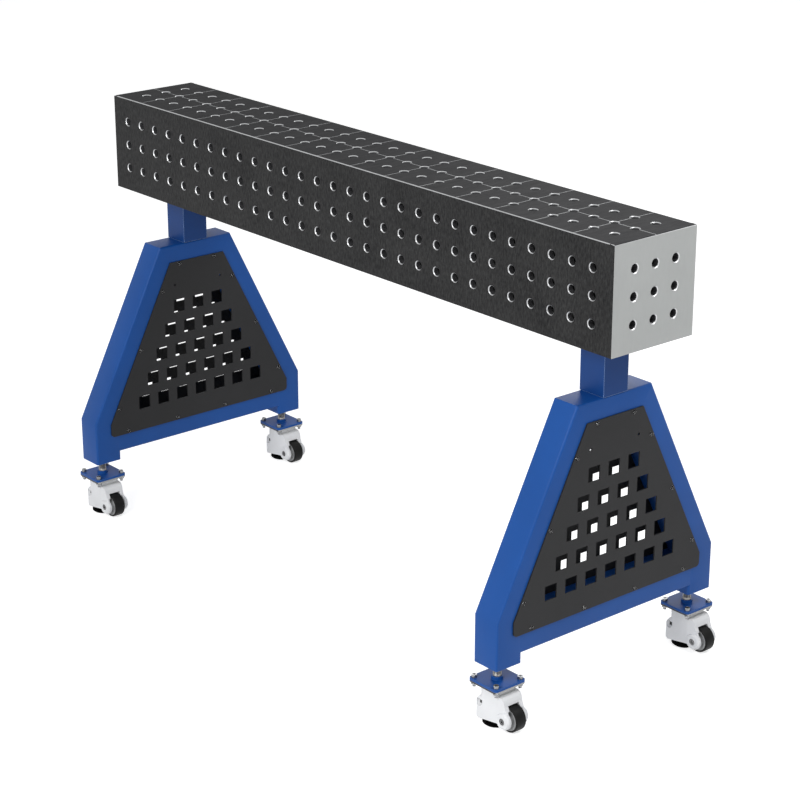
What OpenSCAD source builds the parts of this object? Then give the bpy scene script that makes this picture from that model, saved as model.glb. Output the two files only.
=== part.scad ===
// Welding trestle: a drilled box beam on two welded stands with levelling swivel feet.
// Millimetres. +Z is up, X runs along the beam, and the origin is on the floor under its middle.
// Left is -X, right is +X, front is -Y and rear is +Y. All four wheels trail towards +X.

/* [Beam] */
// Length of the beam
beam_l = 1500; // [1000:50:2400]
// Width of the beam
beam_w = 200; // [180:10:300]
// Height of the beam
beam_h = 200; // [180:10:300]
// Thickness of the beam's plates
plate_t = 12; // [6:1:15]
// Diameter of the clamping holes
hole_d = 16; // [12:1:22]
// Distance from one clamping hole to the next
hole_pitch = 50; // [40:5:60]
// Distance of the first clamping hole from a plate's end or edge
hole_edge = 50; // [30:5:70]
// Distance of each inner rib from the middle of the beam
rib_x = 250; // [100:10:400]
// Thickness of an inner rib
rib_t = 10; // [6:1:20]
// Diameter of the opening in an inner rib
rib_hole_d = 100; // [60:5:120]

/* [Stands] */
// Distance from the beam's end to the outer face of a stand
stand_inset = 82.5; // [60:0.5:200]
// Side of the square tube
tube = 60; // [50:1:70]
// Wall of the square tube
wall = 3; // [2:0.5:5]
// Width of a stand over its posts
stand_w = 551; // [480:1:640]
// Width of a stand at its top
stand_top_w = 186; // [170:1:240]
// Height of a stand from the posts' lower ends to the top rail's upper face
stand_h = 455; // [420:5:560]
// Height of the upright part at the foot of a post
stub_h = 93; // [86:1:110]
// Height of the mast between the top rail and the beam
mast_h = 110; // [80:5:200]

/* [Mast flanges] */
// Side of the flange on a mast
flange_w = 130; // [120:5:170]
// Thickness of the flange
flange_t = 10; // [6:1:16]
// Distance between the flange's bolts
flange_bolt_pitch = 90; // [86:1:104]
// Diameter of a flange bolt
flange_bolt_d = 12; // [8:1:14]
// Width across the flats of a flange bolt's head
flange_head_af = 18; // [15:1:20]
// Height of a flange bolt's head
flange_head_h = 7.5; // [5:0.5:10]

/* [Panels] */
// Thickness of a panel
panel_t = 3; // [2:0.5:5]
// Blue border that a panel leaves on the stand
panel_border = 37.5; // [30:0.5:44]
// Radius of a panel's lower corners
panel_corner_r = 8; // [3:1:12]
// Side of a square window
window_w = 29; // [15:1:35]
// Distance from one window to the next
window_pitch = 50; // [40:1:51]
// Number of windows in the lowest row
window_low_n = 7; // [4:1:7]
// Number of window rows
window_rows = 5; // [2:1:5]
// Height of the lowest row's centres above the panel's lower edge
window_lift = 62; // [50:1:70]
// Diameter of the two small round holes
spot_d = 6; // [3:1:9]
// Distance between the two small round holes
spot_pitch = 120; // [60:1:130]
// Distance of the small round holes below the panel's upper edge
spot_drop = 51; // [45:1:60]

/* [Panel screws] */
// Diameter of a panel screw
screw_d = 4; // [3:0.5:5]
// Length of a panel screw under its head
screw_l = 10; // [8:1:16]
// Diameter of a panel screw's head
screw_head_d = 8; // [7:0.5:9]
// Height of a panel screw's head
screw_head_h = 2.2; // [1.5:0.1:3]
// Distance of the screws from a panel's edge
screw_inset = 6; // [5:0.5:8]
// Distance between the two upper screws
top_screw_pitch = 91; // [60:1:96]
// Distance of the first side screws below the stand's upper face
side_screw_drop = 97; // [85:1:110]
// Height from one side screw to the next
side_screw_pitch = 121; // [90:1:125]
// Distance between the lower screws
low_screw_pitch = 129.5; // [100:0.5:135]

/* [Feet] */
// Diameter of the height spindle
spindle_d = 16; // [12:1:20]
// Length of the spindle above the foot plate
spindle_l = 92; // [80:1:110]
// Length of the spindle between the foot plate and the post
spindle_show = 32; // [28:1:45]
// Diameter of the spindle's seat in the foot plate
spindle_seat_d = 12; // [8:1:14]
// Thickness of the plate that closes a post
end_plate_t = 6; // [4:1:10]
// Diameter of the collar round the spindle on the foot plate
foot_collar_d = 22; // [20:1:26]
// Height of that collar
foot_collar_h = 6; // [4:0.5:8]
// Width across the flats of the spindle nut
spindle_nut_af = 24; // [22:1:30]
// Height of the spindle nut
spindle_nut_h = 13; // [8:1:20]
// Side of the foot plate and of the caster's plate
foot_plate_w = 73; // [70:1:90]
// Thickness of the foot plate
foot_plate_t = 5; // [3:0.5:8]
// Radius of the corners of both plates
foot_plate_r = 6; // [3:1:9]
// Distance between the bolts of a foot plate
foot_bolt_pitch = 58; // [56:1:60]
// Diameter of a foot bolt
foot_bolt_d = 6; // [5:0.5:7]
// Diameter of a foot bolt's head
foot_head_d = 10; // [9:0.5:11]
// Height of a foot bolt's head
foot_head_h = 6; // [4:0.5:8]
// Width across the flats of a foot bolt's nut
foot_nut_af = 10; // [9:0.5:11]
// Height of a foot bolt's nut
foot_nut_h = 5; // [3:0.5:6]
// Length of a foot bolt that shows below its nut
foot_bolt_tip = 5; // [1:0.5:5.5]

/* [Casters] */
// Height of a caster from the floor to its plate's upper face
caster_h = 83; // [80:1:95]
// Thickness of the caster's plate
caster_plate_t = 3; // [2:0.5:5]
// Diameter of the swivel race under the plate
race_d = 46; // [38:1:48]
// Height of the swivel race
race_h = 2.5; // [1.5:0.1:4]
// Diameter of the kingpin
kingpin_d = 16; // [12:1:18]
// Diameter of the kingpin's rivet head
rivet_d = 21; // [19:0.5:22]
// Height of the kingpin's rivet head
rivet_h = 3; // [2:0.5:4]
// Distance of the wheel's axle from the swivel axis
trail = 41; // [40:0.5:42]
// Diameter of the wheel
wheel_d = 50; // [48:0.5:51]
// Width of the tyre
tyre_w = 24; // [18:0.5:25]
// Thickness of the tyre
tyre_t = 4; // [3:0.5:6]
// Radius of the tyre's shoulders
tyre_r = 3.5; // [1:0.5:4]
// Width of the wheel's hub
hub_w = 33; // [30:0.5:33]
// Diameter of the wheel's hub
hub_d = 18; // [14:0.5:22]
// Thickness of the wheel's web
web_t = 10; // [8:0.5:20]
// Width of the wheel's rim
rim_w = 21; // [18:0.5:23]
// Thickness of the wheel's rim
rim_t = 4; // [2:0.5:5]
// Diameter of the axle
axle_d = 8; // [6:0.5:10]
// Diameter of the axle's heads
axle_head_d = 13; // [11:0.5:16]
// Height of the axle's heads
axle_head_h = 3; // [2:0.5:4]

/* [Caster housing] */
// Width of the housing
body_w = 49; // [46:0.5:56]
// Width of the housing over its axle bosses
boss_w = 52; // [50:0.5:56]
// Width of the housing where its axle bosses start to taper
boss_base_w = 44; // [43:0.5:48]
// Width of the housing at its front end
nose_w = 39; // [38:0.5:44]
// Diameter of an axle boss
boss_d = 33; // [30:0.5:36]
// Diameter of an axle boss's outer face
boss_face_d = 28; // [24:0.5:30]
// Width of the opening for the wheel
fork_gap = 26; // [26:0.5:30]
// Diameter of the wider room round the axle
hub_room_d = 40; // [38:0.5:44]
// Width of that room
hub_room_w = 34; // [34:0.5:36]
// Gap between the wheel and the opening's roof
well_gap = 2; // [1:0.5:3]
// Reach of the housing behind the swivel axis
rear_reach = 35.5; // [34:0.5:40]
// Reach of the housing's upper part behind the swivel axis
neck_rear = 20; // [18:0.5:24]
// Reach of the housing's upper part in front of the swivel axis
neck_front = 26; // [24:0.5:30]
// Height of the rear bulge's crown
bulge_top = 54; // [53:0.5:58]
// Height at which the housing's front starts to lean out
brow_z = 69; // [66:0.5:72]
// Reach of the shoulder over the wheel
shoulder_x = 43.5; // [41:0.5:46]
// Height of the shoulder over the wheel
shoulder_z = 53; // [52:0.5:56]
// Height of the housing's lower edge at the swivel axis
skirt_z = 11.8; // [11.5:0.1:14]
// Rise of the housing's lower edge from the rear end to the front
skirt_rise = 10; // [4:0.5:10]
// Radius of the housing's rear corners
rear_r = 14; // [8:0.5:16]
// How far the finger scoops' middles lie behind the swivel's axis
scoop_back = 21; // [20:0.5:24]
// How far the finger scoops' middles lie outside the housing's sides
scoop_out = 1; // [0.5:0.5:2]
// Length of the housing's rounded lower rear corner
heel_l = 12; // [8:0.5:14]
// Height of that corner's upper end above the floor
heel_top = 25; // [20:0.5:26]
// Radius of the upper part's corners
neck_r = 8; // [4:0.5:12]
// Wall of the housing round its hollow rear
shell_t = 4; // [3:0.5:5]

/* [Levelling] */
// Diameter of the levelling stem
stem_d = 12; // [10:0.5:13]
// Height of the stem's upper end above the floor
stem_top = 62; // [58:0.5:63]
// Diameter of the thumbwheel
thumb_d = 31; // [28:0.5:31]
// Height of the thumbwheel
thumb_h = 8.5; // [6:0.5:9]
// Height of the thumbwheel's lower face above the floor
thumb_z = 38; // [38:0.5:40]
// Number of finger notches in the thumbwheel
thumb_notches = 12; // [6:1:18]
// Diameter of the levelling pad
pad_d = 51; // [48:1:56]
// Diameter of the pad's sole
sole_d = 45; // [40:1:47]
// Height of the pad's sole above the floor
pad_z = 0; // [0:0.5:2]
// Height of the pad
pad_h = 9.8; // [8:0.1:9.8]

/* [Fits] */
// Radial clearance of pins and threads that turn or slide
run_gap = 0.05; // [0.02:0.01:0.1]
// Clearance round bolts and screws
bolt_gap = 0.3; // [0.1:0.1:0.4]
// Clearance between other moving faces
move_gap = 0.3; // [0.3:0.1:0.6]

/* [Hidden] */
$fn = 64;
// Length by which every cutting shape runs past the face it cuts
cut = 1;
// Corner facets of a bent outline
arc_steps = 6;

// Heights above the floor, from the feet up
foot_plate_z = caster_h;
spindle_z = foot_plate_z + foot_plate_t;
post_z = spindle_z + spindle_show;
stand_top = post_z + stand_h;
beam_z = stand_top + mast_h;
beam_top = beam_z + beam_h;

// Inner length and height of the beam
inner_l = beam_l - 2 * plate_t;
side_h = beam_h - 2 * plate_t;

// Places of the stands and posts
stand_x = beam_l / 2 - stand_inset - tube / 2;
foot_half = stand_w / 2;
post_y = foot_half - tube / 2;
lean = atan2(foot_half - stand_top_w / 2, stand_h - stub_h);

// Rows and columns of clamping holes
function hole_count(span) = floor((span - 2 * hole_edge) / hole_pitch) + 1;
function hole_place(i, n) = (i - (n - 1) / 2) * hole_pitch;

// A line that runs at depth d inside a post's outer face, at height z above the post's foot
function bend_z(d) = stub_h - d * tan(lean / 2);
function post_line(z, d) = foot_half - (d + (z - stub_h) * sin(lean)) / cos(lean);
rail_z = bend_z(tube) - tube;
top_inner = post_line(stand_h - tube, tube);

// Outline of a panel: its upper and lower edges and its bends, above the post's foot
panel_top = stand_h - panel_border;
panel_low = rail_z + panel_border;
panel_half = foot_half - panel_border;

// Screw places on one panel, as [y, z] above the post's foot
screw_line = panel_border + screw_inset;
right_screws = concat(
    [[top_screw_pitch / 2, stand_h - screw_line]],
    [for (i = [0:2]) let (z = stand_h - side_screw_drop - i * side_screw_pitch)
        [post_line(z, screw_line), z]],
    [for (i = [0:1]) [(i + 1 / 2) * low_screw_pitch, rail_z + screw_line]]);
screws = concat(right_screws, [for (s = right_screws) [-s[0], s[1]]]);

// Shares of the side view's sizes, chosen by eye, that round the rear bulge
bulge_shares = [[0.12, 0.96], [0.4, 0.87], [0.72, 0.74], [0.93, 0.6], [1, 0.48]];
// Shares of the rounded lower rear corner's length and height
heel_shares = [[1, 1], [0.87, 0.55], [0.5, 0.18], [0, 0]];
// Shares of the brow's reach and height between the neck and the shoulder over the wheel
brow_shares = [[0.92, 0.4], [0.8, 0.72], [0.57, 0.94], [0.3, 1]];
// Turn of the finger slots from the rear, in degrees
finger_turn = 58;
// Where the front's outline ends inside a boss: its share of the boss's radius, and its turn in degrees
boss_share = 0.9;
boss_turn = 20;
// Share of the housing's width that the rear window and finger slots take
window_share = 0.52;
slot_share = 0.1;
// Share of the housing's width that a finger scoop's radius takes
scoop_share = 0.16;

// Sizes inside a caster
plate_low = caster_h - caster_plate_t;
race_low = plate_low - race_h;
body_top = race_low - move_gap;
rivet_top = brow_z + move_gap;
rivet_room = rivet_top + move_gap;
wheel_r = wheel_d / 2;
core_r = wheel_r - tyre_t;
skirt_slope = skirt_rise / (rear_reach + neck_front);
function skirt(x) = skirt_z + x * skirt_slope;
thumb_room_r = thumb_d / 2 + 2 * move_gap;
heel_x = heel_l - rear_reach;
pad_notch_x = trail - wheel_r + well_gap + move_gap;
finger_z = thumb_z + thumb_h / 2;
boss_in_r = boss_share * boss_d / 2;

// Shared shapes

// A rod whose axis is Y, centred on the origin
module rod_y(d, l) {
    rotate([90, 0, 0]) cylinder(h = l, d = d, center = true);
}

// A rod whose axis is X, centred on the origin
module rod_x(d, l) {
    rotate([0, 90, 0]) cylinder(h = l, d = d, center = true);
}

// A six-sided prism with the given width across its flats
module hex(af, h) {
    cylinder(h = h, d = af / cos(30), $fn = 6);
}

// Puts its children at the four corners of a square
module at_corners(pitch) {
    for (x = [-1, 1], y = [-1, 1]) translate([x * pitch / 2, y * pitch / 2, 0]) children();
}

// A flat outline that is rounded at the rear (-X) and, if front_r is over zero, at the front
module rounded_plan(x0, x1, w, r, front_r) {
    translate([x0 + r, -w / 2]) square([x1 - x0 - r - front_r, w]);
    translate([x0, -w / 2 + r]) square([r, w - 2 * r]);
    for (s = [-1, 1]) translate([x0 + r, s * (w / 2 - r)]) circle(r = r);
    if (front_r > 0) {
        translate([x1 - front_r, -w / 2 + front_r]) square([front_r, w - 2 * front_r]);
        for (s = [-1, 1]) translate([x1 - front_r, s * (w / 2 - front_r)]) circle(r = front_r);
    }
}

// A square plate with rounded corners
module corner_plate(w, t, r) {
    linear_extrude(height = t) rounded_plan(-w / 2, w / 2, w, r, r);
}

// Stretches a flat [x, z] outline along Y, about the middle
module across(w) {
    rotate([90, 0, 0]) linear_extrude(height = w, center = true) children();
}

// Stretches a flat [y, z] outline along X, about the middle
module along(w) {
    rotate([90, 0, 90]) linear_extrude(height = w, center = true) children();
}

// Beam

// Places a rod at every clamping hole of a plate of size u by v that lies in its own XY plane
module hole_grid(u, v) {
    nu = hole_count(u);
    nv = hole_count(v);
    for (i = [0:nu - 1], j = [0:nv - 1])
        translate([hole_place(i, nu), hole_place(j, nv), -cut])
            cylinder(h = plate_t + 2 * cut, d = hole_d);
}

// A flat plate of size u by v, drilled for a full plate of size grid_u by grid_v
module drilled_plate(u, v, grid_u, grid_v) {
    difference() {
        translate([-u / 2, -v / 2, 0]) cube([u, v, plate_t]);
        hole_grid(grid_u, grid_v);
    }
}

module beam_top_plate() {
    color("dimgray") translate([0, 0, beam_top - plate_t])
        drilled_plate(inner_l, beam_w, beam_l, beam_w);
}

module beam_bottom_plate() {
    color("dimgray") difference() {
        translate([-inner_l / 2, -beam_w / 2, beam_z]) cube([inner_l, beam_w, plate_t]);
        for (s = [-1, 1]) translate([s * stand_x, 0, beam_z - cut])
            at_corners(flange_bolt_pitch)
                cylinder(h = plate_t + 2 * cut, d = flange_bolt_d + 2 * bolt_gap);
    }
}

module beam_side_plate(s) {
    color("dimgray") translate([0, s * beam_w / 2, beam_z + beam_h / 2])
        rotate([s * 90, 0, 0]) drilled_plate(inner_l, side_h, beam_l, beam_h);
}

module beam_end_plates() {
    color("lightgray") for (s = [0, 180])
        rotate([0, 0, s]) translate([beam_l / 2, 0, beam_z + beam_h / 2])
            rotate([0, -90, 0]) drilled_plate(beam_h, beam_w, beam_h, beam_w);
}

module beam_ribs() {
    color("gray") for (s = [-1, 1])
        translate([s * rib_x, 0, beam_z + beam_h / 2]) difference() {
            cube([rib_t, beam_w - 2 * plate_t, side_h], center = true);
            rod_x(rib_hole_d, rib_t + 2 * cut);
        }
}

// Stands

// Puts its children at both stands, level with the posts' lower ends
module at_stands() {
    for (s = [-1, 1]) translate([s * stand_x, 0, post_z]) children();
}

module screw_holes() {
    for (s = screws) translate([0, s[0], s[1]])
        rod_x(screw_d + 2 * run_gap, tube + 2 * cut);
}

module masts() {
    tube_h = mast_h - flange_t;
    color("royalblue") for (s = [-1, 1]) translate([s * stand_x, 0, stand_top]) {
        difference() {
            translate([-tube / 2, -tube / 2, 0]) cube([tube, tube, tube_h]);
            translate([wall - tube / 2, wall - tube / 2, -cut])
                cube([tube - 2 * wall, tube - 2 * wall, tube_h + cut]);
        }
        difference() {
            translate([-flange_w / 2, -flange_w / 2, tube_h])
                cube([flange_w, flange_w, flange_t]);
            translate([0, 0, tube_h - cut]) at_corners(flange_bolt_pitch)
                cylinder(h = flange_t + 2 * cut, d = flange_bolt_d + 2 * bolt_gap);
        }
    }
}

module mast_bolts() {
    color("silver") for (s = [-1, 1])
        translate([s * stand_x, 0, beam_z - flange_t]) at_corners(flange_bolt_pitch) {
            cylinder(h = flange_t + plate_t, d = flange_bolt_d);
            translate([0, 0, -flange_head_h]) hex(flange_head_af, flange_head_h);
        }
}

module top_rails() {
    color("royalblue") at_stands() difference() {
        along(tube) polygon([
            [-stand_top_w / 2, stand_h], [stand_top_w / 2, stand_h],
            [top_inner, stand_h - tube], [-top_inner, stand_h - tube]]);
        translate([wall - tube / 2, -stand_top_w, stand_h - tube + wall])
            cube([tube - 2 * wall, 2 * stand_top_w, tube - 2 * wall]);
        screw_holes();
    }
}

module bottom_rails() {
    rail_half = foot_half - tube;
    color("royalblue") at_stands() difference() {
        translate([-tube / 2, -rail_half, rail_z]) cube([tube, 2 * rail_half, tube]);
        translate([wall - tube / 2, -foot_half, rail_z + wall])
            cube([tube - 2 * wall, 2 * foot_half, tube - 2 * wall]);
        screw_holes();
    }
}

// One bent post: an upright stub and a leaning length, mitred to the top rail
module post(side, end) {
    far_z = stand_h + tube;
    color("royalblue") translate([side * stand_x, 0, post_z]) rotate([0, 0, end > 0 ? 0 : 180])
        difference() {
            along(tube) polygon([
                [foot_half, 0], [foot_half, stub_h], [stand_top_w / 2, stand_h],
                [top_inner, stand_h - tube], [foot_half - tube, bend_z(tube)],
                [foot_half - tube, 0]]);
            along(tube - 2 * wall) polygon([
                [foot_half - wall, -cut], [foot_half - wall, bend_z(wall)],
                [post_line(far_z, wall), far_z], [post_line(far_z, tube - wall), far_z],
                [foot_half - tube + wall, bend_z(tube - wall)],
                [foot_half - tube + wall, -cut]]);
            screw_holes();
        }
}

// The plate that closes a post, with the spindle's nut on it
module post_end_plates() {
    side = tube - 2 * wall;
    color("royalblue") for (x = [-1, 1], y = [-1, 1])
        translate([x * stand_x, y * post_y, post_z]) difference() {
            union() {
                translate([-side / 2, -side / 2, 0]) cube([side, side, end_plate_t]);
                translate([0, 0, end_plate_t]) hex(spindle_nut_af, spindle_nut_h);
            }
            translate([0, 0, -cut])
                cylinder(h = end_plate_t + spindle_nut_h + 2 * cut, d = spindle_d + 2 * run_gap);
        }
}

// Panels

// The points of an arc of radius r about [y, z], from angle a0 to angle a1
function arc(y, z, r, a0, a1) =
    [for (i = [0:arc_steps]) let (a = a0 + (a1 - a0) * i / arc_steps)
        [y + r * cos(a), z + r * sin(a)]];

// Half of a panel's outline, from the lower edge up to the upper edge
panel_side = concat(
    arc(panel_half - panel_corner_r, panel_low + panel_corner_r, panel_corner_r, -90, 0),
    [[panel_half, bend_z(panel_border)],
     [post_line(panel_top, panel_border), panel_top]]);
panel_points = concat(panel_side,
    [for (i = [len(panel_side) - 1:-1:0]) [-panel_side[i][0], panel_side[i][1]]]);

// A panel on the outer (face 1) or inner (face -1) side of a stand
module panel(side, face) {
    x = side * (stand_x + face * (tube + panel_t) / 2);
    color("dimgray") translate([x, 0, post_z]) difference() {
        along(panel_t) polygon(panel_points);
        for (row = [0:window_rows - 1]) {
            n = window_low_n - row;
            for (i = [0:n - 1])
                translate([0, (i - (n - 1) / 2) * window_pitch,
                    panel_low + window_lift + row * window_pitch])
                    cube([panel_t + 2 * cut, window_w, window_w], center = true);
        }
        for (s = [-1, 1]) translate([0, s * spot_pitch / 2, panel_top - spot_drop])
            rod_x(spot_d, panel_t + 2 * cut);
        for (s = screws) translate([0, s[0], s[1]])
            rod_x(screw_d + 2 * bolt_gap, panel_t + 2 * cut);
    }
}

module panel_screw() {
    rotate([0, 90, 0]) {
        translate([0, 0, -screw_l]) cylinder(h = screw_l, d = screw_d);
        difference() {
            cylinder(h = screw_head_h, d1 = screw_head_d, d2 = screw_head_d - screw_head_h);
            translate([0, 0, screw_head_h / 2]) hex(screw_d / 2, screw_head_h);
        }
    }
}

module panel_screws() {
    color("silver") at_stands() for (s = screws, turn = [0, 180])
        rotate([0, 0, turn]) translate([tube / 2 + panel_t, s[0], s[1]]) panel_screw();
}

// Feet

// Puts its children on the swivel axis of one foot, level with the floor
module at_foot(side, end) {
    translate([side * stand_x, end * post_y, 0]) children();
}

module spindle() {
    seat_h = foot_plate_t + foot_collar_h;
    color("silver") translate([0, 0, foot_plate_z]) {
        cylinder(h = seat_h + cut, d = spindle_seat_d);
        translate([0, 0, seat_h]) cylinder(h = spindle_l - foot_collar_h, d = spindle_d);
    }
}

module foot_plate() {
    color("royalblue") translate([0, 0, foot_plate_z]) difference() {
        union() {
            corner_plate(foot_plate_w, foot_plate_t, foot_plate_r);
            cylinder(h = foot_plate_t + foot_collar_h, d = foot_collar_d);
        }
        translate([0, 0, -cut])
            cylinder(h = foot_plate_t + foot_collar_h + 2 * cut, d = spindle_seat_d + 2 * run_gap);
        translate([0, 0, -cut]) at_corners(foot_bolt_pitch)
            cylinder(h = foot_plate_t + 2 * cut, d = foot_bolt_d + 2 * bolt_gap);
    }
}

// Four bolts through both plates, and their nuts
module foot_bolts() {
    grip = foot_plate_t + caster_plate_t + foot_nut_h + foot_bolt_tip;
    color("silver") at_corners(foot_bolt_pitch) {
        translate([0, 0, spindle_z]) difference() {
            union() {
                translate([0, 0, -grip]) cylinder(h = grip, d = foot_bolt_d);
                cylinder(h = foot_head_h, d = foot_head_d);
            }
            translate([0, 0, foot_head_h / 2]) hex(foot_head_d / 2, foot_head_h);
        }
        translate([0, 0, plate_low - foot_nut_h]) difference() {
            hex(foot_nut_af, foot_nut_h);
            translate([0, 0, -cut])
                cylinder(h = foot_nut_h + 2 * cut, d = foot_bolt_d + 2 * run_gap);
        }
    }
}

// The caster's plate with its swivel race and riveted kingpin
module caster_plate() {
    color("lightgray") {
        difference() {
            translate([0, 0, plate_low])
                corner_plate(foot_plate_w, caster_plate_t, foot_plate_r);
            translate([0, 0, plate_low - cut]) at_corners(foot_bolt_pitch)
                cylinder(h = caster_plate_t + 2 * cut, d = foot_bolt_d + 2 * bolt_gap);
        }
        translate([0, 0, race_low]) cylinder(h = race_h, d = race_d);
        translate([0, 0, rivet_top]) cylinder(h = plate_low - rivet_top, d = kingpin_d);
        translate([0, 0, rivet_top - rivet_h]) cylinder(h = rivet_h, d = rivet_d);
    }
}

// The housing's outline seen from the side, as [x, z]
module lower_profile() {
    polygon(concat(
        [for (s = heel_shares)
            [heel_x - heel_l * s[0], skirt(heel_x) + (heel_top - skirt(heel_x)) * s[1]]],
        [[neck_front, skirt(neck_front)],
         [trail, wheel_r - boss_in_r],
         [trail + boss_in_r * cos(boss_turn), wheel_r + boss_in_r * sin(boss_turn)],
         [shoulder_x, shoulder_z]],
        [for (s = brow_shares)
            [neck_front + (shoulder_x - neck_front) * s[0], shoulder_z + (brow_z - shoulder_z) * s[1]]],
        [[neck_front - neck_r, brow_z],
         [neck_front - neck_r, bulge_top], [-neck_rear, bulge_top]],
        [for (s = bulge_shares)
            [-neck_rear - (rear_reach - neck_rear) * s[0], bulge_top * s[1]]]));
}

// The housing's plan, which narrows from the swivel's front to the wheel's front
module nose_plan() {
    nose_x = trail + boss_d / 2;
    polygon([[-2 * rear_reach, -body_w / 2], [neck_front, -body_w / 2], [nose_x, -nose_w / 2],
        [nose_x, nose_w / 2], [neck_front, body_w / 2], [-2 * rear_reach, body_w / 2]]);
}

// The hollow for the thumbwheel with its rear window and the two finger slots and scoops
module thumb_space() {
    translate([0, 0, thumb_z - move_gap])
        cylinder(h = thumb_h + 2 * move_gap, r = thumb_room_r);
    translate([-rear_reach - cut, -body_w * window_share / 2, thumb_z])
        cube([rear_reach + cut, body_w * window_share, thumb_h]);
    for (s = [-1, 1]) {
        rotate([0, 0, s * finger_turn])
            translate([-body_w, -body_w * slot_share / 2, thumb_z - move_gap / 2])
                cube([body_w - thumb_d / 3, body_w * slot_share, thumb_h + move_gap]);
        translate([-scoop_back, s * (body_w / 2 + scoop_out), finger_z - thumb_h / 4])
            sphere(r = body_w * scoop_share);
    }
}

// The opening for the wheel
module wheel_well() {
    well_r = wheel_r + well_gap;
    translate([trail, 0, wheel_r]) rod_y(2 * well_r, fork_gap);
    translate([trail, 0, wheel_r]) rod_y(hub_room_d, hub_room_w);
    translate([trail, -fork_gap / 2, -cut])
        cube([boss_d, fork_gap, shoulder_z + cut]);
    translate([trail - well_r, -fork_gap / 2, -cut])
        cube([well_r + cut, fork_gap, wheel_r + cut]);
}

// The hollow behind the levelling stem, open below
module rear_hollow() {
    hollow_front = stem_d / 2 + shell_t;
    translate([2 * shell_t - rear_reach, -body_w / 2 + shell_t + well_gap, -cut])
        cube([rear_reach - 2 * shell_t - hollow_front, body_w - 2 * (shell_t + well_gap),
            thumb_z - shell_t + cut]);
}

// The bosses round the axle, which taper to their outer faces
module axle_bosses() {
    translate([trail, 0, wheel_r]) rotate([90, 0, 0]) rotate_extrude() polygon([
        [0, -boss_w / 2], [boss_face_d / 2, -boss_w / 2], [boss_d / 2, -boss_base_w / 2],
        [boss_d / 2, boss_base_w / 2], [boss_face_d / 2, boss_w / 2], [0, boss_w / 2]]);
}

module housing() {
    color("white") difference() {
        union() {
            intersection() {
                across(body_w) lower_profile();
                linear_extrude(height = body_top) intersection() {
                    rounded_plan(-rear_reach, trail + boss_d, body_w, rear_r, 0);
                    nose_plan();
                }
            }
            translate([0, 0, bulge_top - neck_r]) linear_extrude(height = body_top - bulge_top + neck_r)
                rounded_plan(-neck_rear, neck_front, body_w, neck_r, neck_r);
            axle_bosses();
        }
        wheel_well();
        thumb_space();
        rear_hollow();
        translate([0, 0, -cut]) cylinder(h = thumb_z + cut, d = stem_d + 2 * run_gap);
        translate([0, 0, thumb_z]) cylinder(h = brow_z - thumb_z, d = stem_d + 2 * well_gap);
        translate([0, 0, stem_top + move_gap])
            cylinder(h = rivet_room - stem_top - move_gap, d = rivet_d + 2 * move_gap);
        translate([0, 0, brow_z])
            cylinder(h = body_top - brow_z + cut, d = kingpin_d + 2 * run_gap);
        translate([trail, 0, wheel_r]) {
            rod_y(axle_d + 2 * run_gap, boss_w + cut);
            for (s = [-1, 1]) translate([0, s * (boss_w - axle_head_h) / 2, 0])
                rod_y(axle_head_d + 2 * move_gap, axle_head_h + move_gap);
        }
    }
}

module axle() {
    color("silver") translate([trail, 0, wheel_r]) difference() {
        union() {
            rod_y(axle_d, boss_w - 2 * axle_head_h);
            for (s = [-1, 1]) translate([0, s * (boss_w - axle_head_h - move_gap) / 2, 0])
                rod_y(axle_head_d, axle_head_h - move_gap);
        }
        for (s = [0, 180]) rotate([0, 0, s]) translate([0, boss_w / 2 - 2 * axle_head_h / 3, 0])
            rotate([-90, 0, 0]) hex(axle_head_d / 2, axle_head_h);
    }
}

module wheel_core() {
    rim_r = core_r - rim_t;
    color("gainsboro") translate([trail, 0, wheel_r]) rotate([90, 0, 0])
        rotate_extrude() polygon([
            [axle_d / 2 + run_gap, -hub_w / 2], [hub_d / 2, -hub_w / 2],
            [hub_d / 2, -web_t / 2], [rim_r, -web_t / 2], [rim_r, -rim_w / 2],
            [core_r, -rim_w / 2], [core_r, rim_w / 2], [rim_r, rim_w / 2],
            [rim_r, web_t / 2], [hub_d / 2, web_t / 2], [hub_d / 2, hub_w / 2],
            [axle_d / 2 + run_gap, hub_w / 2]]);
}

module tyre() {
    in_r = core_r + run_gap;
    color("black") translate([trail, 0, wheel_r]) rotate([90, 0, 0])
        rotate_extrude() polygon(concat(
            [[in_r, tyre_w / 2 - tyre_r / 4], [in_r, -tyre_w / 2 + tyre_r / 4]],
            arc(wheel_r - tyre_r, -tyre_w / 2 + tyre_r, tyre_r, -90, 0),
            arc(wheel_r - tyre_r, tyre_w / 2 - tyre_r, tyre_r, 0, 90)));
}

module thumbwheel() {
    color("silver") translate([0, 0, thumb_z]) difference() {
        cylinder(h = thumb_h, d = thumb_d);
        translate([0, 0, -cut]) cylinder(h = thumb_h + 2 * cut, d = stem_d + 2 * run_gap);
        for (i = [0:thumb_notches - 1]) rotate([0, 0, i * 360 / thumb_notches])
            translate([thumb_d / 2, 0, -cut])
                cylinder(h = thumb_h + 2 * cut, d = thumb_d / thumb_notches);
    }
}

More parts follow.
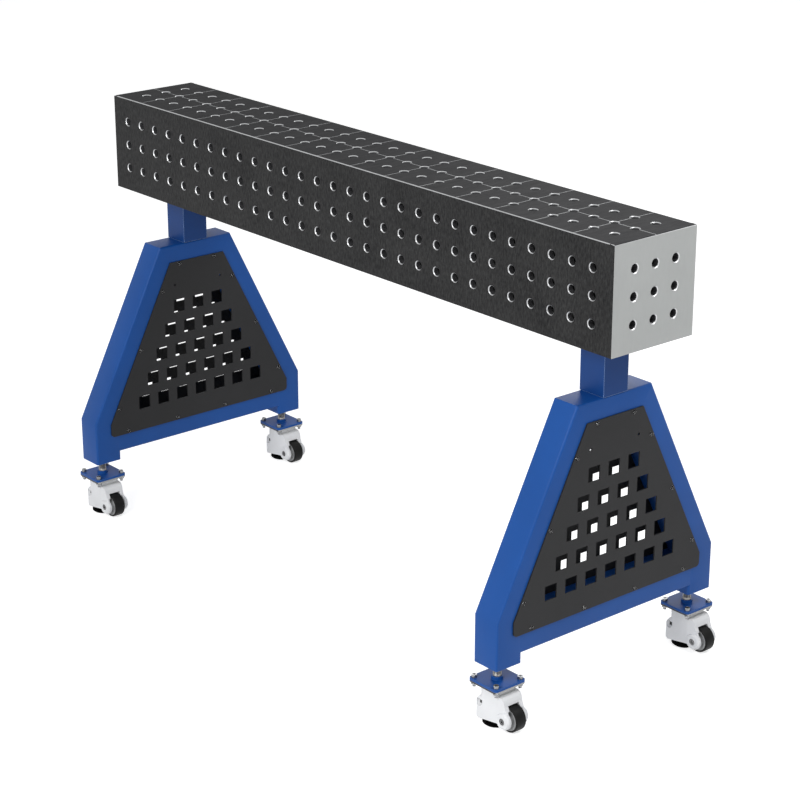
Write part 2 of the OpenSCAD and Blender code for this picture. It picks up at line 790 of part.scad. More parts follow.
// The levelling stem with the rubber pad, cut away in front for the wheel
module level_foot() {
    rim_low = pad_z + pad_h / 4;
    rim_high = pad_z + pad_h / 2;
    pad_top = pad_z + pad_h;
    color("black") difference() {
        union() {
            rotate_extrude() polygon([
                [0, pad_z], [sole_d / 2, pad_z], [pad_d / 2, rim_low], [pad_d / 2, rim_high],
                [pad_d / 2 - pad_h, pad_top - pad_h / 4], [3 * stem_d / 4, pad_top],
                [0, pad_top]]);
            translate([0, 0, pad_z + pad_h / 2])
                cylinder(h = stem_top - pad_z - pad_h / 2, d = stem_d);
        }
        translate([pad_notch_x, -fork_gap / 2 - well_gap, pad_z - cut])
            cube([pad_d, fork_gap + 2 * well_gap, pad_h + 2 * cut]);
    }
}

beam_top_plate();
beam_bottom_plate();
beam_side_plate(-1);  // beam_front_plate
beam_side_plate(1);  // beam_rear_plate
beam_end_plates();
beam_ribs();
masts();
mast_bolts();
top_rails();
bottom_rails();
post(-1, -1);  // left_front_post
post(-1, 1);  // left_rear_post
post(1, -1);  // right_front_post
post(1, 1);  // right_rear_post
panel(-1, 1);  // left_outer_panel
panel(-1, -1);  // left_inner_panel
panel(1, -1);  // right_inner_panel
panel(1, 1);  // right_outer_panel
panel_screws();
post_end_plates();
at_foot(-1, -1) spindle();  // left_front_spindle
at_foot(-1, -1) foot_plate();  // left_front_foot_plate
at_foot(-1, -1) foot_bolts();  // left_front_foot_bolts
at_foot(-1, -1) caster_plate();  // left_front_caster_plate
at_foot(-1, -1) housing();  // left_front_housing
at_foot(-1, -1) axle();  // left_front_axle
at_foot(-1, -1) wheel_core();  // left_front_wheel_core
at_foot(-1, -1) tyre();  // left_front_tyre
at_foot(-1, -1) thumbwheel();  // left_front_thumbwheel
at_foot(-1, -1) level_foot();  // left_front_level_foot
at_foot(-1, 1) spindle();  // left_rear_spindle
at_foot(-1, 1) foot_plate();  // left_rear_foot_plate
at_foot(-1, 1) foot_bolts();  // left_rear_foot_bolts
at_foot(-1, 1) caster_plate();  // left_rear_caster_plate
at_foot(-1, 1) housing();  // left_rear_housing
at_foot(-1, 1) axle();  // left_rear_axle
at_foot(-1, 1) wheel_core();  // left_rear_wheel_core
at_foot(-1, 1) tyre();  // left_rear_tyre
at_foot(-1, 1) thumbwheel();  // left_rear_thumbwheel
at_foot(-1, 1) level_foot();  // left_rear_level_foot
at_foot(1, -1) spindle();  // right_front_spindle
at_foot(1, -1) foot_plate();  // right_front_foot_plate
at_foot(1, -1) foot_bolts();  // right_front_foot_bolts
at_foot(1, -1) caster_plate();  // right_front_caster_plate
at_foot(1, -1) housing();  // right_front_housing
at_foot(1, -1) axle();  // right_front_axle
at_foot(1, -1) wheel_core();  // right_front_wheel_core
at_foot(1, -1) tyre();  // right_front_tyre
at_foot(1, -1) thumbwheel();  // right_front_thumbwheel
at_foot(1, -1) level_foot();  // right_front_level_foot
at_foot(1, 1) spindle();  // right_rear_spindle
at_foot(1, 1) foot_plate();  // right_rear_foot_plate
at_foot(1, 1) foot_bolts();  // right_rear_foot_bolts
at_foot(1, 1) caster_plate();  // right_rear_caster_plate
at_foot(1, 1) housing();  // right_rear_housing
at_foot(1, 1) axle();  // right_rear_axle
at_foot(1, 1) wheel_core();  // right_rear_wheel_core
at_foot(1, 1) tyre();  // right_rear_tyre
at_foot(1, 1) thumbwheel();  // right_rear_thumbwheel
at_foot(1, 1) level_foot();  // right_rear_level_foot
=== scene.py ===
"""Looks for a welding trestle: a drilled box beam on two stands with levelling swivel feet.

Everything is in metres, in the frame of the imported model: +Z up, X along the beam, floor at zero.
"""
import math

import bmesh
import bpy
from mathutils import Matrix, Vector

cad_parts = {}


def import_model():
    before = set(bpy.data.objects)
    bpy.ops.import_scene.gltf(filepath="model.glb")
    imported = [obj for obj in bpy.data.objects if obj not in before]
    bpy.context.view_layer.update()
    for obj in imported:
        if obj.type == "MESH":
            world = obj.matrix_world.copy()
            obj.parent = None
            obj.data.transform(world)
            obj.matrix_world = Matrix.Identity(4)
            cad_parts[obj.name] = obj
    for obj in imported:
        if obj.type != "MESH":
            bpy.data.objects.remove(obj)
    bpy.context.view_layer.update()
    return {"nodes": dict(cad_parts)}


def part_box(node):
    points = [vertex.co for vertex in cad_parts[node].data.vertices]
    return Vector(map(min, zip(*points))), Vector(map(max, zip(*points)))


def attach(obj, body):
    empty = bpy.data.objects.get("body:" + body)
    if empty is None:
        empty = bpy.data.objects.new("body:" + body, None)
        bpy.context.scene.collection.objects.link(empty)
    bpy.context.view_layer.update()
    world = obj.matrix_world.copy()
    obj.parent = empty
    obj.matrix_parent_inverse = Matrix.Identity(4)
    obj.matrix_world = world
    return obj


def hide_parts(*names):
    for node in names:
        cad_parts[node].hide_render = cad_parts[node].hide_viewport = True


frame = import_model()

MM = 0.001
NODES = frame["nodes"]
FEET = ("left_front", "left_rear", "right_front", "right_rear")
scene = bpy.context.scene
scene.view_settings.view_transform = "Standard"


def foot_place(foot):
    """Where a foot's swivel axis meets the floor."""
    low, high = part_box(f"{foot}_spindle")
    return Vector(((low.x + high.x) / 2, (low.y + high.y) / 2, 0))


# Camera, fitted to the corners of the beam and of both stands in the photograph
PHOTO_SIDE = 800
FOCAL_PIXELS = 2241.7
SENSOR_WIDTH = 36
VIEW_END = 100
CAMERA_PLACE = Vector((3.2539, -2.6830, 1.9293))
CAMERA_FORWARD = Vector((-0.71676, 0.60574, -0.34545))

camera_data = bpy.data.cameras.new("camera")
camera_data.sensor_width = SENSOR_WIDTH
camera_data.lens = SENSOR_WIDTH * FOCAL_PIXELS / PHOTO_SIDE
camera_data.clip_end = VIEW_END
camera = bpy.data.objects.new("camera", camera_data)
camera.location = CAMERA_PLACE
camera.rotation_euler = CAMERA_FORWARD.to_track_quat("-Z", "Y").to_euler()
scene.collection.objects.link(camera)
scene.camera = camera


# Materials
def srgb(r, g, b):
    """A linear colour from 0-255 screen values."""
    def linear(v):
        v /= 255
        return v / 12.92 if v <= 0.04045 else ((v + 0.055) / 1.055) ** 2.4
    return (linear(r), linear(g), linear(b), 1)


def shade(colour, factor):
    """The colour made darker or lighter."""
    return tuple(min(1, factor * v) for v in colour[:3]) + (1,)


class Shader:
    """A material with one Principled shader, and short calls for its nodes."""

    EDGE_START, EDGE_FULL = 0.02, 0.12
    LINE_CORE_SHARE = 0.6
    NOISE_LOW, NOISE_HIGH = 0.3, 0.7

    def __init__(self, name, **constants):
        self.material = bpy.data.materials.new(name)
        self.material.use_nodes = True
        self.tree = self.material.node_tree
        self.principled = self.tree.nodes["Principled BSDF"]
        for socket, value in constants.items():
            self.principled.inputs[socket.replace("_", " ")].default_value = value
        coordinates = self.tree.nodes.new("ShaderNodeTexCoord")
        self.place = coordinates.outputs["Object"]

    def node(self, kind, settings=(), **inputs):
        """A new node. Inputs are values or other nodes' outputs, by socket name, or by number as in _0."""
        made = self.tree.nodes.new("ShaderNode" + kind)
        for key, value in dict(settings).items():
            setattr(made, key, value)
        for key, value in inputs.items():
            socket = made.inputs[int(key[1:])] if key[0] == "_" else made.inputs[key.replace("_", " ")]
            self.put(socket, value)
        return made

    def put(self, socket, value):
        if isinstance(value, bpy.types.NodeSocket):
            self.tree.links.new(value, socket)
        else:
            socket.default_value = value

    def set(self, **inputs):
        for key, value in inputs.items():
            self.put(self.principled.inputs[key.replace("_", " ")], value)

    def stretched(self, x, y, z):
        """The object's coordinates, scaled along each axis."""
        return self.node("Mapping", Vector=self.place, Scale=(x, y, z)).outputs[0]

    def noise(self, scale, detail=3, roughness=0.55, place=None):
        return self.node("TexNoise", Vector=place or self.place, Scale=scale, Detail=detail,
                         Roughness=roughness).outputs["Fac"]

    def math(self, operation, a, b=0.0):
        return self.node("Math", {"operation": operation}, _0=a, _1=b).outputs[0]

    def span(self, value, low, high, to_low=0.0, to_high=1.0):
        """Maps low..high to to_low..to_high, and clamps it there."""
        return self.node("MapRange", Value=value, From_Min=low, From_Max=high,
                         To_Min=to_low, To_Max=to_high).outputs[0]

    def spread(self, noise, low, high):
        """Maps the values that a noise mostly has to low..high."""
        return self.span(noise, self.NOISE_LOW, self.NOISE_HIGH, low, high)

    def blend(self, a, b, share):
        """A share of a with the rest of b."""
        return self.math("ADD", self.math("MULTIPLY", a, share), self.math("MULTIPLY", b, 1 - share))

    def ramp(self, value, *stops):
        """A colour ramp through (place, colour) stops."""
        made = self.node("ValToRGB", Fac=value)
        elements = made.color_ramp.elements
        elements[0].position, elements[0].color = stops[0]
        elements[1].position, elements[1].color = stops[-1]
        for place, colour in stops[1:-1]:
            elements.new(place).color = colour
        return made.outputs[0]

    def mix(self, factor, a, b):
        """Colour a where the factor is 0, and colour b where it is 1."""
        made = self.node("Mix", {"data_type": "RGBA"})
        self.put(made.inputs[0], factor)
        self.put(made.inputs[6], a)
        self.put(made.inputs[7], b)
        return made.outputs[2]

    def bump(self, height, strength, distance, normal=None):
        made = self.node("Bump", Height=height, Strength=strength, Distance=distance)
        if normal is not None:
            self.put(made.inputs["Normal"], normal)
        self.set(Normal=made.outputs[0])

    def edges(self, radius):
        """1 on sharp outer edges, 0 on flat faces."""
        bevel = self.node("Bevel", {"samples": 4}, Radius=radius).outputs[0]
        flat = self.node("NewGeometry").outputs["Normal"]
        dot = self.node("VectorMath", {"operation": "DOT_PRODUCT"}, _0=bevel, _1=flat).outputs["Value"]
        return self.span(self.math("SUBTRACT", 1.0, dot), self.EDGE_START, self.EDGE_FULL)

    def open_sky(self, distance):
        """1 on open faces, towards 0 deep in gaps and corners."""
        made = self.node("AmbientOcclusion", {"samples": 8, "only_local": True}, Distance=distance)
        return made.outputs["AO"]

    def near_line(self, axis, offset, pitch, half_width):
        """1 on lines that repeat every pitch along an axis, or on one line where pitch is zero."""
        separate = self.node("SeparateXYZ", Vector=self.place).outputs[axis]
        value = self.math("SUBTRACT", separate, offset)
        if pitch:
            value = self.math("PINGPONG", value, pitch / 2)
        return self.span(self.math("ABSOLUTE", value), half_width, self.LINE_CORE_SHARE * half_width)


STREAK_SHARE = 0.75
FLECKS, FLECK_SHARE = srgb(92, 92, 94), 0.25
FLECK_START, FLECK_FULL = 0.6, 0.78
SCRIBED = srgb(190, 191, 192)
SCRIBE_START, SCRIBE_PITCH, SCRIBE_HALF = 50 * MM, 100 * MM, 0.9 * MM
SCRIBE_DEPTH = 1.5
WORN_LEAST = 0.6


def nitrided_steel(name, dark, light, streak, lines=False, metallic=0.2, specular=0.2, contrast=0.14):
    """Dark ground steel. streak scales the grinding marks along X, Y and Z.

    The tone runs from dark to light over twice the contrast. lines adds the beam's scribed lines.
    """
    s = Shader(name, Metallic=metallic, Specular_IOR_Level=specular)
    marks = s.noise(1.0, detail=4, roughness=0.7, place=s.stretched(*streak))
    fine = s.noise(1.0, detail=2, roughness=0.5, place=s.stretched(*(3 * v for v in streak)))
    clouds = s.noise(9.0, detail=4)
    colour = s.ramp(s.blend(marks, clouds, STREAK_SHARE), (0.5 - contrast, dark), (0.5 + contrast, light))
    colour = s.mix(s.span(fine, FLECK_START, FLECK_FULL, to_high=FLECK_SHARE), colour, FLECKS)
    height = s.blend(marks, fine, 0.5)
    if lines:
        cross = s.near_line("X", SCRIBE_START, SCRIBE_PITCH, SCRIBE_HALF)
        middle = s.near_line("Y", 0.0, 0.0, SCRIBE_HALF)
        scribed = s.math("MAXIMUM", cross, middle)
        wear = s.span(s.noise(160.0, detail=2), 0.3, 0.55, to_low=WORN_LEAST)
        wear_and_sheen = s.math("MULTIPLY", scribed, wear)
        colour = s.mix(wear_and_sheen, colour, SCRIBED)
        height = s.math("SUBTRACT", height, s.math("MULTIPLY", scribed, SCRIBE_DEPTH))
    s.set(Base_Color=colour, Roughness=s.spread(clouds, 0.48, 0.54))
    s.bump(height, strength=0.12, distance=0.2 * MM)
    return s.material


# The colour of the painted highlights on bare steel's edges.
SHINE = srgb(250, 250, 250)


def ground_steel(name, dark, light, streak, roughness=0.34, metallic=0.85, bump=0.1, edge_radius=0.0):
    """Bare steel with fine grinding marks. With an edge_radius, its edges get a painted highlight."""
    s = Shader(name, Metallic=metallic)
    marks = s.noise(1.0, detail=4, roughness=0.6, place=s.stretched(*streak))
    clouds = s.noise(9.0)
    colour = s.ramp(s.blend(marks, clouds, 0.5), (0.3, dark), (0.7, light))
    # Painted highlight on the edges.
    if edge_radius:
        colour = s.mix(s.edges(edge_radius), colour, SHINE)
    s.set(Base_Color=colour, Roughness=s.spread(marks, roughness - 0.05, roughness + 0.08))
    s.bump(marks, strength=bump, distance=0.1 * MM)
    return s.material


# Where shade is painted on the housings: their finger slots and scoops, from each swivel's axis and from the
# floor
SLOT_TURN = math.radians(58)
SLOT_HALF, SLOT_REACH = 2.65 * MM, 24.2 * MM
SCOOP_BACK, SCOOP_HALF, SCOOP_REACH = 18.5 * MM, 5.5 * MM, 20.6 * MM
SHADE_MIDDLE, SHADE_HALF = 41.5 * MM, 5.25 * MM


def painted_slot_shade(s):
    """1 on the walls of the housings' two finger slots and at the bottom of their finger scoops, where shade
    is painted.

    The feet stand in a rectangle, so wrapping makes each housing's own X and Y from the shared ones.
    """
    foot = foot_place("right_rear")
    place = s.node("SeparateXYZ", Vector=s.place).outputs

    def own(axis, middle):
        shifted = s.math("SUBTRACT", place[axis], middle)
        return s.node("Math", {"operation": "WRAP"}, _0=shifted, _1=middle, _2=-middle).outputs[0]

    def within(value, half):
        return s.math("LESS_THAN", s.math("ABSOLUTE", value), half)
    x, y = own("X", foot.x), own("Y", foot.y)
    out = s.math("ABSOLUTE", y)
    along_x = s.math("MULTIPLY", x, math.sin(SLOT_TURN))
    aside = s.math("ADD", along_x, s.math("MULTIPLY", out, math.cos(SLOT_TURN)))
    slot = s.math("MULTIPLY", within(aside, SLOT_HALF), s.math("LESS_THAN", out, SLOT_REACH))
    scoop = s.math("MULTIPLY", within(s.math("ADD", x, SCOOP_BACK), SCOOP_HALF),
                   s.math("LESS_THAN", out, SCOOP_REACH))
    height = s.math("SUBTRACT", place["Z"], SHADE_MIDDLE)
    return s.math("MULTIPLY", s.math("MAXIMUM", slot, scoop), within(height, SHADE_HALF))


# Painted shade: the colours for deep gaps, for the finger slots and for faces that look along -Y.
GAP_SHADE, SLOT_SHADE, FRONT_SHADE = srgb(20, 20, 21), srgb(22, 22, 23), srgb(30, 31, 34)
GAP_DEEP, GAP_OPEN, GAP_SHARE = 0.12, 0.62, 0.93
FRONT_START, FRONT_FULL = -0.6, -0.9


def paint(name, colour, edge_colour, edge_radius, edge_share=0.5, specular=0.4, roughness=0.42, grain=900.0,
          bump=0.06, rounding=0.0, gaps=0.0, dark_front=False, slots=False):
    """A paint or powder coat with a fine orange-peel skin and slightly lighter edges, which are a painted
    highlight.

    rounding is the radius that its edges are shaded with, and gaps the width of those that get painted shade
    deep inside. dark_front paints shade on the faces that look along -Y, and slots on the finger slots' walls.
    """
    s = Shader(name, Specular_IOR_Level=specular)
    skin = s.noise(grain, detail=2, roughness=0.5)
    clouds = s.noise(6.0)
    base = s.ramp(clouds, (0.35, shade(colour, 0.93)), (0.65, shade(colour, 1.06)))
    # Painted shade: the colour darkens deep in gaps and corners.
    if gaps:
        base = s.mix(s.span(s.open_sky(gaps), GAP_DEEP, GAP_OPEN, GAP_SHARE, 0.0), base, GAP_SHADE)
    # Painted shade on the finger slots' walls and at the bottom of the scoops.
    if slots:
        base = s.mix(painted_slot_shade(s), base, SLOT_SHADE)
    # Painted shade on the faces that look along -Y.
    if dark_front:
        facing = s.node("SeparateXYZ", Vector=s.node("NewGeometry").outputs["Normal"]).outputs["Y"]
        base = s.mix(s.span(facing, FRONT_START, FRONT_FULL), base, FRONT_SHADE)
    # Painted highlight: the edges lighten towards edge_colour.
    wear_and_sheen = s.math("MULTIPLY", s.edges(edge_radius), edge_share)
    s.set(Base_Color=s.mix(wear_and_sheen, base, edge_colour),
          Roughness=s.spread(skin, roughness - 0.05, roughness + 0.06))
    round_normal = s.node("Bevel", {"samples": 6}, Radius=rounding).outputs[0] if rounding else None
    s.bump(skin, strength=bump, distance=0.15 * MM, normal=round_normal)
    return s.material


def rubber(name, colour, roughness, grain=900.0, specular=0.1):
    """Rubber or plastic with a fine grain and faint lighter clouds."""
    s = Shader(name, Specular_IOR_Level=specular)
    skin = s.noise(grain)
    clouds = s.noise(40.0)
    s.set(Base_Color=s.ramp(clouds, (0.35, colour), (0.7, shade(colour, 1.7))),
          Roughness=s.spread(clouds, roughness - 0.06, roughness + 0.06))
    s.bump(skin, strength=0.15, distance=0.1 * MM)
    return s.material


DARK_TOP = nitrided_steel("dark_top", srgb(48, 48, 49), srgb(60, 60, 61), (130, 20, 20),
                          lines=True, metallic=0.0, specular=0.008)
DARK_SIDE = nitrided_steel("dark_side", srgb(21, 21, 22), srgb(52, 52, 52), (260, 260, 90),
                           specular=0.11, contrast=0.12)
DARK_INSIDE = nitrided_steel("dark_inside", srgb(38, 38, 40), srgb(60, 60, 62), (60, 60, 60))
# Painted light: the bores' walls are lighter than the plates to stand for light that reaches into the holes;
# their streaks are drilling marks.
LIT_BORE = nitrided_steel("lit_bore", srgb(56, 56, 58), srgb(86, 86, 88), (60, 60, 400))
END_STEEL = ground_steel("end_steel", srgb(158, 160, 159), srgb(167, 169, 168), (160, 160, 40),
                         roughness=0.42, metallic=0.5, bump=0.03)
END_CHAMFER = ground_steel("end_chamfer", srgb(190, 191, 192), srgb(208, 209, 210), (90, 90, 90))
CHAMFER = ground_steel("bright_chamfer", srgb(166, 167, 168), srgb(192, 193, 195), (90, 90, 90))
# Painted highlights on the edges of these three steels, with the zinc's faces darker for the contrast that
# chrome's reflections give.
ZINC = ground_steel("zinc_steel", srgb(104, 105, 107), srgb(150, 151, 153), (500, 500, 120),
                    roughness=0.2, edge_radius=0.7 * MM)
AXLE_STEEL = ground_steel("axle_steel", srgb(78, 78, 79), srgb(118, 118, 120), (500, 120, 500),
                          roughness=0.24, edge_radius=0.5 * MM)
SCREW_STEEL = ground_steel("screw_steel", srgb(20, 20, 21), srgb(36, 36, 37), (500, 500, 500),
                           roughness=0.3, edge_radius=0.25 * MM)
SPINDLE_STEEL = ground_steel("spindle_steel", srgb(128, 126, 123), srgb(164, 162, 158), (300, 300, 600))
# Painted highlight: every paint below has lighter edges.
BLUE = paint("blue_paint", srgb(16, 72, 143), srgb(80, 118, 178), 1.6 * MM, edge_share=0.7, specular=0.22)
PLATE_BLUE = paint("plate_blue", srgb(16, 72, 143), srgb(80, 118, 178), 1.0 * MM, edge_share=0.6,
                   specular=0.22, rounding=0.8 * MM)
# Painted shade: a darker copy of the stands' blue for the shade under the beam, with painted highlights on its
# edges.
SHADED_MAST_BLUE = paint("shaded_mast_blue", srgb(11, 56, 115), srgb(128, 156, 200), 2.2 * MM, edge_share=0.8,
                  specular=0.2, rounding=2.0 * MM)
PANEL = paint("dark_panel", srgb(40, 40, 41), srgb(72, 72, 74), 0.5 * MM, specular=0.16, roughness=0.5,
              grain=1400.0, bump=0.12)
# Painted shade deep in the housings' gaps and on their finger slots' walls.
WHITE = paint("white_paint", srgb(221, 222, 224), srgb(244, 244, 244), 1.0 * MM, edge_share=0.3,
              specular=0.35, grain=700.0, bump=0.04, rounding=1.2 * MM, gaps=14 * MM, slots=True)
# Painted shade on its faces that look along -Y.
GREY_PLATE = paint("grey_plate", srgb(168, 168, 166), srgb(190, 190, 188), 0.8 * MM, edge_share=0.4,
                   grain=800.0, bump=0.05, dark_front=True)
CORE = paint("wheel_core", srgb(170, 171, 172), srgb(222, 223, 224), 0.6 * MM, edge_share=0.8,
             roughness=0.4, grain=600.0, bump=0.04)
TYRE = rubber("tyre_rubber", srgb(20, 20, 20), 0.42, grain=700.0)
PAD = rubber("pad_rubber", srgb(4, 4, 4), 0.6, specular=0.03)
THUMB = rubber("thumbwheel_plastic", srgb(24, 24, 25), 0.5, grain=500.0)


# Mesh helpers
WELD = 1e-6
SMOOTH_ANGLE = 32


def new_piece(name, mesh, body, slot, *materials, place=(0, 0, 0), replaced=()):
    """Links a mesh as a piece that rides on a body."""
    piece = bpy.data.objects.new(name, mesh)
    piece.location = place
    scene.collection.objects.link(piece)
    if not mesh.materials:
        for material in materials:
            mesh.materials.append(material)
    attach(piece, body)
    if replaced:
        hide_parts(*replaced)


def smooth_by_angle(mesh, degrees=SMOOTH_ANGLE):
    """Smooth shading, with sharp edges where faces meet at more than that angle."""
    mesh.shade_smooth()
    mesh.set_sharp_from_angle(angle=math.radians(degrees))


def mesh_from(bm, name, degrees=SMOOTH_ANGLE):
    """A welded mesh with its faces turned outwards."""
    mesh = bpy.data.meshes.new(name)
    bmesh.ops.remove_doubles(bm, verts=bm.verts, dist=WELD)
    bmesh.ops.recalc_face_normals(bm, faces=bm.faces)
    bm.to_mesh(mesh)
    bm.free()
    smooth_by_angle(mesh, degrees)
    return mesh


def circle_points(r, sides):
    """Points (across, up) around a circle."""
    angles = [2 * math.pi * i / sides for i in range(sides)]
    return [(r * math.cos(angle), r * math.sin(angle)) for angle in angles]


def join_rings(bm, rings, material=0):
    """Faces between rings of as many points, each with the next."""
    for a, b in zip(rings, rings[1:]):
        for k in range(len(a)):
            n = (k + 1) % len(a)
            bm.faces.new((a[k], a[n], b[n], b[k])).material_index = material


# Beam
X, Y, Z = range(3)
HOLE_R = 8 * MM
HOLE_PITCH = 50 * MM
HOLE_CHAMFER = 1.35 * MM
EDGE_CHAMFER = 1.4 * MM
HOLE_SIDES = 40
PLATE_ANGLE = 25
UPWARD = 0.9
TINY, FAR = 1e-9, 1e9
SURFACE, BRIGHT, INSIDE, HOLE, FLANK, UPPER = range(6)


def drilled_plate(name, low, high, out_axis, out_sign, chamfered=(), long_edges=False):
    """A plate between two corners, drilled right through along out_axis on the 50 mm grid.

    out_sign says which face looks out. Holes are chamfered there, and so are the plate's outer
    edges named in chamfered, as (axis, sign) pairs. Each hole lies in the middle of a square cell.
    long_edges carries the top plate's chamfers on over this plate's thickness.
    """
    bm = bmesh.new()
    u_axis, v_axis = [axis for axis in (X, Y, Z) if axis != out_axis]
    middle = ((low[u_axis] + high[u_axis]) / 2, (low[v_axis] + high[v_axis]) / 2)
    half = ((high[u_axis] - low[u_axis]) / 2, (high[v_axis] - low[v_axis]) / 2)
    outer = high[out_axis] if out_sign > 0 else low[out_axis]
    thickness = high[out_axis] - low[out_axis]

    def cuts(half_length):
        """Cell borders and hole centres along one side. Cells meet halfway between holes.

        The grid is that of a full plate, which a plate between two others is short of by two
        thicknesses. A millimetre of slack keeps rounding from losing a hole.
        """
        count = int((2 * (half_length + thickness) + MM) / HOLE_PITCH) - 1
        first = -(count - 1) / 2 * HOLE_PITCH
        between = [first + (i + 0.5) * HOLE_PITCH for i in range(count - 1)]
        return [-half_length] + between + [half_length], [first + i * HOLE_PITCH for i in range(count)]

    def vertex(u, v, depth):
        place = [0.0, 0.0, 0.0]
        place[u_axis] = middle[0] + u
        place[v_axis] = middle[1] + v
        place[out_axis] = outer - out_sign * depth
        return bm.verts.new(place)

    def face(verts, material):
        bm.faces.new(verts).material_index = material

    u_cuts, u_holes = cuts(half[0])
    v_cuts, v_holes = cuts(half[1])
    inset = {(0, -1): 0.0, (0, 1): 0.0, (1, -1): 0.0, (1, 1): 0.0}
    for axis, sign in chamfered:
        inset[(0 if axis == u_axis else 1, sign)] = EDGE_CHAMFER

    def ring(points, depth):
        return [vertex(u, v, depth) for u, v in points]

    def border(u0, u1, v0, v1, cu, cv):
        """HOLE_SIDES points around a cell's edge, each in its own direction from the hole."""
        points = []
        corners = [math.atan2(v - cv, u - cu) for u, v in ((u1, v1), (u0, v1), (u0, v0), (u1, v0))]
        for i in range(HOLE_SIDES):
            angle = 2 * math.pi * i / HOLE_SIDES
            nearest = min(corners, key=lambda c: abs(math.remainder(c - angle, 2 * math.pi)))
            if abs(math.remainder(nearest - angle, 2 * math.pi)) < math.pi / HOLE_SIDES:
                angle = nearest
            du, dv = math.cos(angle), math.sin(angle)
            reach = min(((u1 if du > 0 else u0) - cu) / du if abs(du) > TINY else FAR,
                        ((v1 if dv > 0 else v0) - cv) / dv if abs(dv) > TINY else FAR)
            points.append((cu + du * reach, cv + dv * reach))
        return points

    def circle(cu, cv, r):
        return [(cu + across, cv + up) for across, up in circle_points(r, HOLE_SIDES)]

    last_u, last_v = len(u_holes) - 1, len(v_holes) - 1
    for i, cu in enumerate(u_holes):
        for j, cv in enumerate(v_holes):
            u0, u1, v0, v1 = u_cuts[i], u_cuts[i + 1], v_cuts[j], v_cuts[j + 1]
            top = (u0 + (inset[(0, -1)] if i == 0 else 0), u1 - (inset[(0, 1)] if i == last_u else 0),
                   v0 + (inset[(1, -1)] if j == 0 else 0), v1 - (inset[(1, 1)] if j == last_v else 0))
            rings = [
                (ring(border(*top, cu, cv), 0), None),
                (ring(circle(cu, cv, HOLE_R + HOLE_CHAMFER), 0), SURFACE),
                (ring(circle(cu, cv, HOLE_R), HOLE_CHAMFER), BRIGHT),
                (ring(circle(cu, cv, HOLE_R), thickness), HOLE),
                (ring(border(u0, u1, v0, v1, cu, cv), thickness), INSIDE)]
            for (a, _), (b, material) in zip(rings, rings[1:]):
                join_rings(bm, [a, b], material)

    def side_strip(axis, sign):
        """The plate's side face, up to the next sides' chamfers, and its own chamfer if it has one."""
        c = inset[(axis, sign)]
        end = half[axis] * sign
        along = v_cuts if axis == 0 else u_cuts
        low_cut, high_cut = inset[(1 - axis, -1)], inset[(1 - axis, 1)]

        def put(position, t, depth):
            return vertex(position, t, depth) if axis == 0 else vertex(t, position, depth)
        t0, t1 = along[0], along[-1]
        if c:
            face((put(end - sign * c, t0 + low_cut, 0), put(end - sign * c, t1 - high_cut, 0),
                  put(end, t1, c), put(end, t0, c)), BRIGHT)
        outline = [(t0 + low_cut, c), (t1 - high_cut, c)] + [(t1, high_cut)] * bool(high_cut)
        outline += [(t1, thickness), (t0, thickness)] + [(t0, low_cut)] * bool(low_cut)
        face([put(end, t, depth) for t, depth in outline], FLANK)

    for axis in (0, 1):
        for sign in (-1, 1):
            side_strip(axis, sign)
    bmesh.ops.remove_doubles(bm, verts=bm.verts, dist=WELD)
    if long_edges:
        corners = [edge for edge in bm.edges if all(
            abs(v.co.z - high.z) < WELD and abs(abs(v.co.y) - high.y) < WELD for v in edge.verts)]
        bmesh.ops.bevel(bm, geom=corners, offset=EDGE_CHAMFER, segments=1, affect="EDGES", material=BRIGHT)
    mesh = mesh_from(bm, name, PLATE_ANGLE)
    for polygon in mesh.polygons:
        polygon.use_smooth = polygon.material_index in (BRIGHT, HOLE)
    return mesh


def beam():
    """The drilled plates, with real chamfers, in place of the plain solids."""
    rest = (CHAMFER, DARK_INSIDE, LIT_BORE, DARK_SIDE)
    low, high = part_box("beam_top_plate")
    new_piece("beam_top_plate_drilled",
              drilled_plate("beam_top_plate_drilled", low, high, Z, 1, ((Y, -1), (Y, 1))),
              "frame", "dark_steel", DARK_TOP, *rest, replaced=("beam_top_plate",))
    for side, sign in (("front", -1), ("rear", 1)):
        low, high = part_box(f"beam_{side}_plate")
        new_piece(f"beam_{side}_plate_drilled",
                  drilled_plate(f"beam_{side}_plate_drilled", low, high, Y, sign),
                  "frame", "dark_steel", DARK_SIDE, *rest, replaced=(f"beam_{side}_plate",))
    low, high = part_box("beam_end_plates")
    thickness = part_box("beam_top_plate")[0].x - low.x
    for side, sign in (("left", -1), ("right", 1)):
        corner_low, corner_high = low.copy(), high.copy()
        if sign < 0:
            corner_high.x = low.x + thickness
        else:
            corner_low.x = high.x - thickness
        mesh = drilled_plate(f"beam_{side}_end_plate_drilled", corner_low, corner_high, X, sign,
                             ((Z, 1),), long_edges=True)
        for polygon in mesh.polygons:
            if polygon.normal.z > UPWARD:
                polygon.material_index = UPPER
        new_piece(f"beam_{side}_end_plate_drilled", mesh, "frame", "end_steel",
                  END_STEEL, END_CHAMFER, *rest[1:], DARK_TOP,
                  replaced=("beam_end_plates",) if side == "left" else ())


beam()


# Stands
TUBE_R = 4 * MM
TUBE_WALL = 3 * MM
CORNER_STEPS = 5
BEND_STEPS = 30


def tube_section(half):
    """Points (across, out) round a square section with rounded corners."""
    points = []
    for quarter in range(4):
        turn = math.pi / 2 * quarter
        diagonal = Vector((math.cos(turn + math.pi / 4), math.sin(turn + math.pi / 4)))
        corner = diagonal * (half - TUBE_R) * math.sqrt(2)
        for i in range(CORNER_STEPS + 1):
            angle = turn + math.pi / 2 * i / CORNER_STEPS
            points.append((corner.x + TUBE_R * math.cos(angle), corner.y + TUBE_R * math.sin(angle)))
    return points


